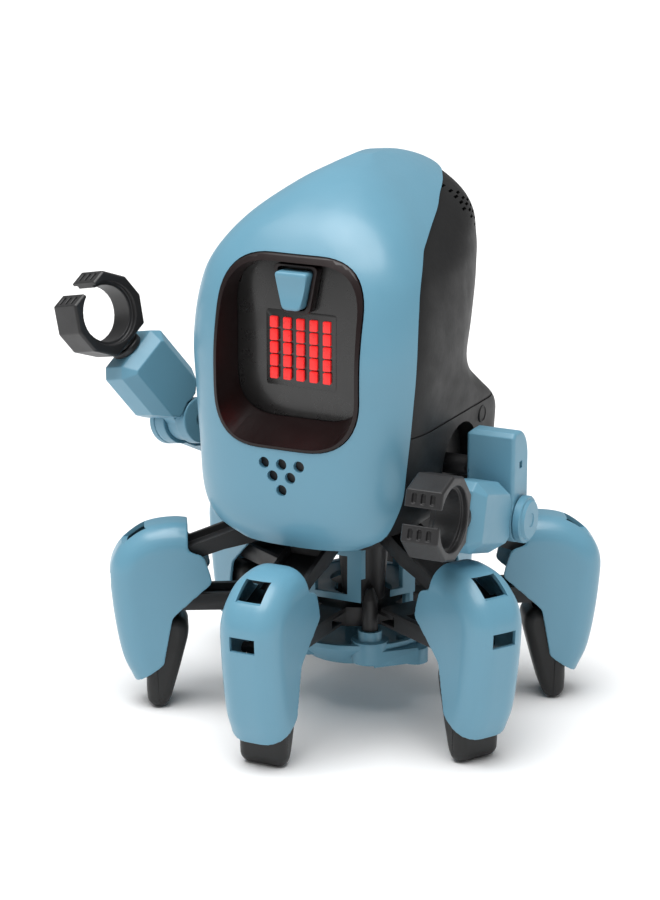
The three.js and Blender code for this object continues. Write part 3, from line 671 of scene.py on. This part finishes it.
# ---- Legs ----
def leg_parts():
    """One leg's pieces at the front, as masters that each leg copies."""
    form = flowing(LEG_FORM[::-1], 5, closed=True)
    outer = pillow(inset(form, 0.3), "leg", LEG_HALF_WIDTH - 0.5, LEG_ROUND)
    inner = pillow(inset(form, LEG_WALL), "leg", LEG_HALF_WIDTH - LEG_WALL, LEG_ROUND - 1)
    outline = eased(LEG_OUTLINE, 2.5)
    shell = common(outer, prism(outline, "leg", -20, 20))
    shell = softened(cut(shell, inner), 0.5, 5)
    for low, high in ((57, 63.6), (77.3, 84.5)):
        shell = cut(shell, box((-5.9, 5.9), (-120, -92), (low, high)))
    shell.name = "leg_shell_master"
    sole = eased(
        [(80, 43.5), (76.2, 39.5), (76.6, 33.8), (80.9, 17.4), (84.8, 4), (88, 0), (92.4, 0), (95.4, 3), (95.8, 9), (95.4, 40), (93.2, 43.5)],
        4, 6,
    )
    foot = pillow(sole, "leg", 11.2, 4.5, 6, "foot_master")
    foot = cut(foot, rod("x", (-88, 44), -6.5, 6.5, 7.5))
    return {"leg_shell": shell, "foot": foot}


def make_legs():
    masters = leg_parts()
    looks = {"leg_shell": (BLUE, "blue_shell"), "foot": (RUBBER, "black_part")}
    for i in range(1, 7):
        for part, master in masters.items():
            twin = copy_of(master, f"{part}_form_{i}")
            turned_by(twin, 60 * (i - 1))
            at_axis(twin)
            material, slot = looks[part]
            dressed(twin, material, f"leg_{i}", slot, [f"{part}_{i}"])
        for part, body in (("upper_link", "body"), ("lower_link", f"link_{i}")):
            link = from_node(f"{part}_{i}", f"{part}_form_{i}", 0.7)
            dressed(link, BLACK, body, "black_part", [f"{part}_{i}"])
    for master in masters.values():
        bpy.data.objects.remove(master)


# ---- Arms, modelled hanging from the shoulder's side hinge, for the side at +X ----
def upper_arm_form():
    drop = -ELBOW_DROP
    side = [(-8, drop), (9, drop), (9, 6)]
    side += [(-1 + 10 * math.cos(t), 6 + 13 * math.sin(t)) for t in (math.pi / 2 * k / 10 for k in range(1, 11))]
    side += [(-6, 19), (-8, 17)]
    block = bevelled(prism(side, "side", ARM_INNER, ARM_OUTER), 1.6, 4, 50)
    block = join(block, rod("x", (0, drop), ARM_INNER, ARM_OUTER, ELBOW_RADIUS))
    block = cut(
        block,
        prism([(-12, 9.5), (6, 25), (-12, 25)], "face", -20, 20),
        box((-12, 6.5), (-5.5, 5.5), (-10.5, 10.5)),
        rod("y", (0, 0), -7.9, 7.9, 2.6, sides=32),
        rod("x", (0, drop), ARM_MIDDLE - 4.4, ARM_MIDDLE + 4.4, 13.6),
        rod("x", (0, drop), ARM_INNER - 1, ARM_OUTER + 1, 3, sides=32),
    )
    block = softened(block, 0.36, 3)
    return cut(block, box((ARM_OUTER - 3, ARM_OUTER + 1), (-1.6, 1.6), (2, 5.2)))


def elbow_cap_form():
    drop = -ELBOW_DROP
    low, high = ARM_OUTER + 0.4, ARM_OUTER + 5.4
    profile = [
        (0.01, ARM_INNER + 1), (2.5, ARM_INNER + 1), (2.5, low), (ELBOW_RADIUS - 0.4, low), (ELBOW_RADIUS, low + 0.4),
        (ELBOW_RADIUS, high - 1.9), (ELBOW_RADIUS - 0.5, high - 1.4), (9.1, high - 1.4), (8.9, high - 1.2),
        (8.6, high - 0.3), (8.2, high), (3.2, high), (2.9, high - 0.4), (0.01, high - 0.4),
    ]
    cap = turned(profile, name="elbow_cap")
    turned_by(cap, 90, "Y")
    return moved(cap, 0, 0, drop)


def forearm_form():
    front = -FOREARM_LENGTH
    half = 15.5
    outline = [(-half, 6), (half, 6), (half, front + 4), (half - 4, front), (4 - half, front), (-half, front + 4)]
    depth = (ARM_OUTER - ARM_INNER) / 2
    body = moved(chamfered(outline, depth, 5), ARM_MIDDLE)
    shape = [(-half - 1, -18.5), (-6, -11), (8, -9.8), (half + 1, -20.5), (half + 1, -60), (-half - 1, -60)]
    body = common(body, prism(shape, "side", -10, 30))
    body = cut(body, rod("x", (0, 0), ARM_INNER - 1, ARM_OUTER + 1, ELBOW_RADIUS + 0.7))
    body = join(
        body,
        rod("x", (0, 0), ARM_MIDDLE - 4, ARM_MIDDLE + 4, 9),
        box((ARM_MIDDLE - 4, ARM_MIDDLE + 4), (-7, 7), (-16, -4)),
    )
    body = cut(
        body,
        rod("x", (0, 0), ARM_INNER - 1, ARM_OUTER + 1, 3, sides=32),
        rod("z", (ARM_MIDDLE, 0), front - 1, front + 6, 5),
    )
    return softened(body, 0.36, 3)


def chamfered(outline, half, width):
    """An outline extruded along X to +-half with flat chamfers of `width` at both ends."""
    ordered = outline if area(outline) > 0 else outline[::-1]
    drawn = polygon_inset(ordered, width)
    rings = [[(w, u, v) for u, v in ring] for w, ring in
             ((-half, drawn), (-half + width, ordered), (half - width, ordered), (half, drawn))]
    return loft(rings)


def area(points):
    return sum(a[0] * b[1] - b[0] * a[1] for a, b in zip(points, points[1:] + points[:1])) / 2


def polygon_inset(points, amount):
    """An anticlockwise convex polygon with each side moved in by `amount`."""
    out = []
    n = len(points)
    for i in range(n):
        before, here, after = Vector(points[i - 1]), Vector(points[i]), Vector(points[(i + 1) % n])
        a, b = (here - before).normalized(), (after - here).normalized()
        na, nb = Vector((-a.y, a.x)), Vector((-b.y, b.x))
        out.append(tuple(here + (na + nb) * amount / (1 + na.dot(nb))))
    return out


def collar_form():
    front = -FOREARM_LENGTH
    profile = [(0.01, front - 3.2), (7.0, front - 3.2), (7.4, front - 2.8), (7.4, front - 0.8), (7.0, front - 0.4), (4.6, front - 0.4), (4.6, front + 5), (0.01, front + 5)]
    return moved(turned(profile), ARM_MIDDLE)


def gripper_form():
    outer, inner, half, gap = 18, 12.6, 8.5, 3.7
    flat = outer - 2.5
    z = -GRIPPER_CENTRE
    octagon = [(-outer, 6), (-outer, -5), (-11, -flat), (11, -flat), (outer, -5), (outer, 6), (10.5, outer - 1.4), (-10.5, outer - 1.4)]
    body = moved(chamfered(octagon, half, 0.8), ARM_MIDDLE, 0, z)
    body = cut(body, rod("x", (0, z), ARM_MIDDLE - half - 1, ARM_MIDDLE + half + 1, inner, sides=96))
    for side in (-1, 1):
        step = sorted((ARM_MIDDLE + side * (half - 2.6), ARM_MIDDLE + side * (half + 1)))
        body = cut(body, rod("x", (0, z), *step, inner + 1.6, sides=96))
    body = cut(body, box((ARM_MIDDLE - half - 1, ARM_MIDDLE + half + 1), (-gap, gap), (z - outer - 1, z)))
    for side in (-1, 1):
        for k in (-1, 0, 1):
            y = sorted((side * (gap + 1.6), side * (gap + 6)))
            body = cut(body, box((ARM_MIDDLE + 4.2 * k - 1, ARM_MIDDLE + 4.2 * k + 1), y, (z - flat - 1, z - flat + 1.3)))
    body = join(body, rod("z", (ARM_MIDDLE, 0), z + 15.5, -FOREARM_LENGTH - 3.5, 6, 6.6))
    return softened(body, 0.34, 2)


def shoulder_form():
    stub = join(rod("x", (0, 0), -23, -2, 4.6), rod("x", (0, 0), -24, -20.9, 7.5), rod("y", (0, 0), -5, 5, 5.2, sides=48))
    stub = join(stub, rod("y", (0, 0), -7.4, 7.4, 2.3, sides=32))
    return softened(stub, 0.3, 2)


def arm_places(name):
    """Where the shoulder, upper arm and forearm groups sit at rest, from the joints."""
    pos = lambda joint: Vector(JOINTS[f"{joint}_{name}"]["pos_m"])
    axis = lambda joint: Vector(JOINTS[f"{joint}_{name}"]["axis"]).normalized()
    hinge = axis("elbow")
    hinge = hinge if hinge.x > 0 else -hinge
    shoulder_y = axis("shoulder_raise")

    def place(x, z, origin):
        y = z.cross(x)
        return Matrix.Translation(origin) @ Matrix((x, y, z)).transposed().to_4x4()

    up = (pos("shoulder_raise") - pos("elbow")).normalized()
    swing_x = Vector((1, 0, 0))
    y = shoulder_y if shoulder_y.cross(swing_x).dot(up) < 0 else -shoulder_y
    swing_z = swing_x.cross(y)
    return {
        "shoulder": place(swing_x, swing_z, pos("shoulder_swing")),
        "upper": place(hinge, up, pos("shoulder_raise")),
        "fore": place(hinge, -axis("wrist_roll"), pos("elbow")),
    }


def make_arms():
    parts = [
        (shoulder_form(), "shoulder_joint", "shoulder", "shoulder", BLACK, "black_part", 35),
        (upper_arm_form(), "upper_arm", "upper", "upper_arm", BLUE_PART, "blue_part", 60),
        (elbow_cap_form(), "elbow_pin", "upper", "upper_arm", BLUE_PART, "blue_part", 35),
        (forearm_form(), "forearm", "fore", "forearm", BLUE_PART, "blue_part", 60),
        (collar_form(), "wrist_collar", "fore", "hand", BLACK, "black_part", 35),
        (gripper_form(), "gripper", "fore", "hand", BLACK, "black_part", 60),
    ]
    for name in ("right", "left"):
        places = arm_places(name)
        for master, node, group, body, material, slot, crease in parts:
            title = f"{node}_form_{name}"
            twin = copy_of(master, title) if name == "right" else mirrored(master, title)
            twin.data.transform(places[group])
            dressed(twin, material, f"{body}_{name}", slot, [f"{node}_{name}"], crease)
    for part in parts:
        bpy.data.objects.remove(part[0])


# ---- Chassis ----
def make_chassis():
    hub = from_node("hub", "hub_form", 0.8)
    dressed(hub, BLACK, "body", "black_part", ["hub"])
    cage = from_node("gearbox_frame", "gearbox_frame_form", 0.5)
    dressed(cage, BLUE_PART, "body", "blue_part", ["gearbox_frame"])
    plate = from_node("walking_plate", "walking_plate_form", 0.6)
    dressed(plate, BLACK, "body", "black_part", ["walking_plate"])
    dish = from_node("base_disc", "base_disc_form", 0.5)
    dressed(dish, BLUE_PART, "body", "blue_part", ["base_disc"])
    x, y = polar(*PEG)
    profile = [(0.01, 35.4), (3.4, 35.4), (3.6, 35.7), (3.6, 56.5), (3.4, 57.2), (1.8, 61.2), (1.1, 62), (0.01, 62.2)]
    pin = turned(profile, (x, y), 64, "guide_pin_form")
    at_axis(pin)
    dressed(pin, BLACK, "body", "black_part", ["guide_pin"])
    crank = from_node("crank", "crank_form", 0.25, 2)
    dressed(crank, BLACK, "crank", "black_part", ["crank"])
    pinion = from_node("motor_pinion", "motor_pinion_form", 0.15, 2)
    dressed(pinion, BLACK, "pinion", "black_part", ["motor_pinion"])
    motor = from_node("drive_motor", "drive_motor_form", 0.4)
    dressed(motor, STEEL, "body", "steel", ["drive_motor"])


def make_inside():
    board = from_node("control_board", "control_board_form", 0.2)
    dressed(board, BOARD, "body", "board_green", ["control_board"])
    tray = from_node("battery_box", "battery_box_form", 0.5)
    dressed(tray, BLACK, "body", "black_part", ["battery_box"])
    for i in range(1, 5):
        cell = from_node(f"battery_cell_{i}", f"battery_cell_form_{i}", 0.5)
        dressed(cell, STEEL, "body", "steel", [f"battery_cell_{i}"])


# ---- Camera, floor and light ----
def make_camera():
    elevation, azimuth = math.radians(16), math.radians(26.1)
    back = Vector((
        math.sin(azimuth) * math.cos(elevation),
        -math.cos(azimuth) * math.cos(elevation),
        math.sin(elevation),
    ))
    right = Vector((math.cos(azimuth), math.sin(azimuth), 0))
    data = bpy.data.cameras.new("camera")
    data.lens = 112
    data.sensor_width = 36
    camera = bpy.data.objects.new("camera", data)
    bpy.context.scene.collection.objects.link(camera)
    camera.location = AXIS + Vector((0, 0, 0.1175)) - right * 0.01176 + back * 1.2569
    camera.rotation_mode = "QUATERNION"
    camera.rotation_quaternion = (-back).to_track_quat("-Z", "Y")
    bpy.context.scene.camera = camera


def area_light(name, place, aim, size, power):
    data = bpy.data.lights.new(name, "AREA")
    data.shape = "RECTANGLE"
    data.size, data.size_y = size
    data.energy = power
    lamp = bpy.data.objects.new(name, data)
    bpy.context.scene.collection.objects.link(lamp)
    lamp.location = place
    lamp.rotation_mode = "QUATERNION"
    lamp.rotation_quaternion = (Vector(aim) - Vector(place)).to_track_quat("-Z", "Y")


def make_studio():
    material, tree, shader, place = nodes_of("studio_floor")
    soft = noise(tree, place, 3, 2)
    tree.links.new(blended(tree, soft, (0.93, 0.93, 0.93), (0.96, 0.96, 0.96)), shader.inputs["Base Color"])
    shader.inputs["Roughness"].default_value = 0.9
    floor = mesh_object("floor", [(-6000, -6000, 0), (6000, -6000, 0), (6000, 6000, 0), (-6000, 6000, 0)], [(0, 1, 2, 3)])
    floor.location.z = -0.0002
    floor.data.materials.append(material)
    world = bpy.data.worlds.new("studio")
    world.use_nodes = True
    world.node_tree.nodes["Background"].inputs["Color"].default_value = (1, 1, 1, 1)
    world.node_tree.nodes["Background"].inputs["Strength"].default_value = 0.36
    bpy.context.scene.world = world
    sun = bpy.data.lights.new("soft_sky", "SUN")
    sun.energy = 3.1
    sun.angle = math.radians(50)
    sky = bpy.data.objects.new("soft_sky", sun)
    sky.rotation_euler = (math.radians(12), math.radians(2), 0)
    bpy.context.scene.collection.objects.link(sky)
    area_light("sheen", (-0.5, -0.3, 1.4), (0, 0, 0.2), (0.8, 0.8), 5)
    bpy.context.scene.view_settings.view_transform = "Standard"


make_camera()
make_studio()
make_front_shell()
make_rear_shell()
make_shoulder_arches()
make_side_dial()
make_rear_housing()
make_visor()
make_lights()
make_key()
make_speaker()
make_legs()
make_arms()
make_chassis()
make_inside()
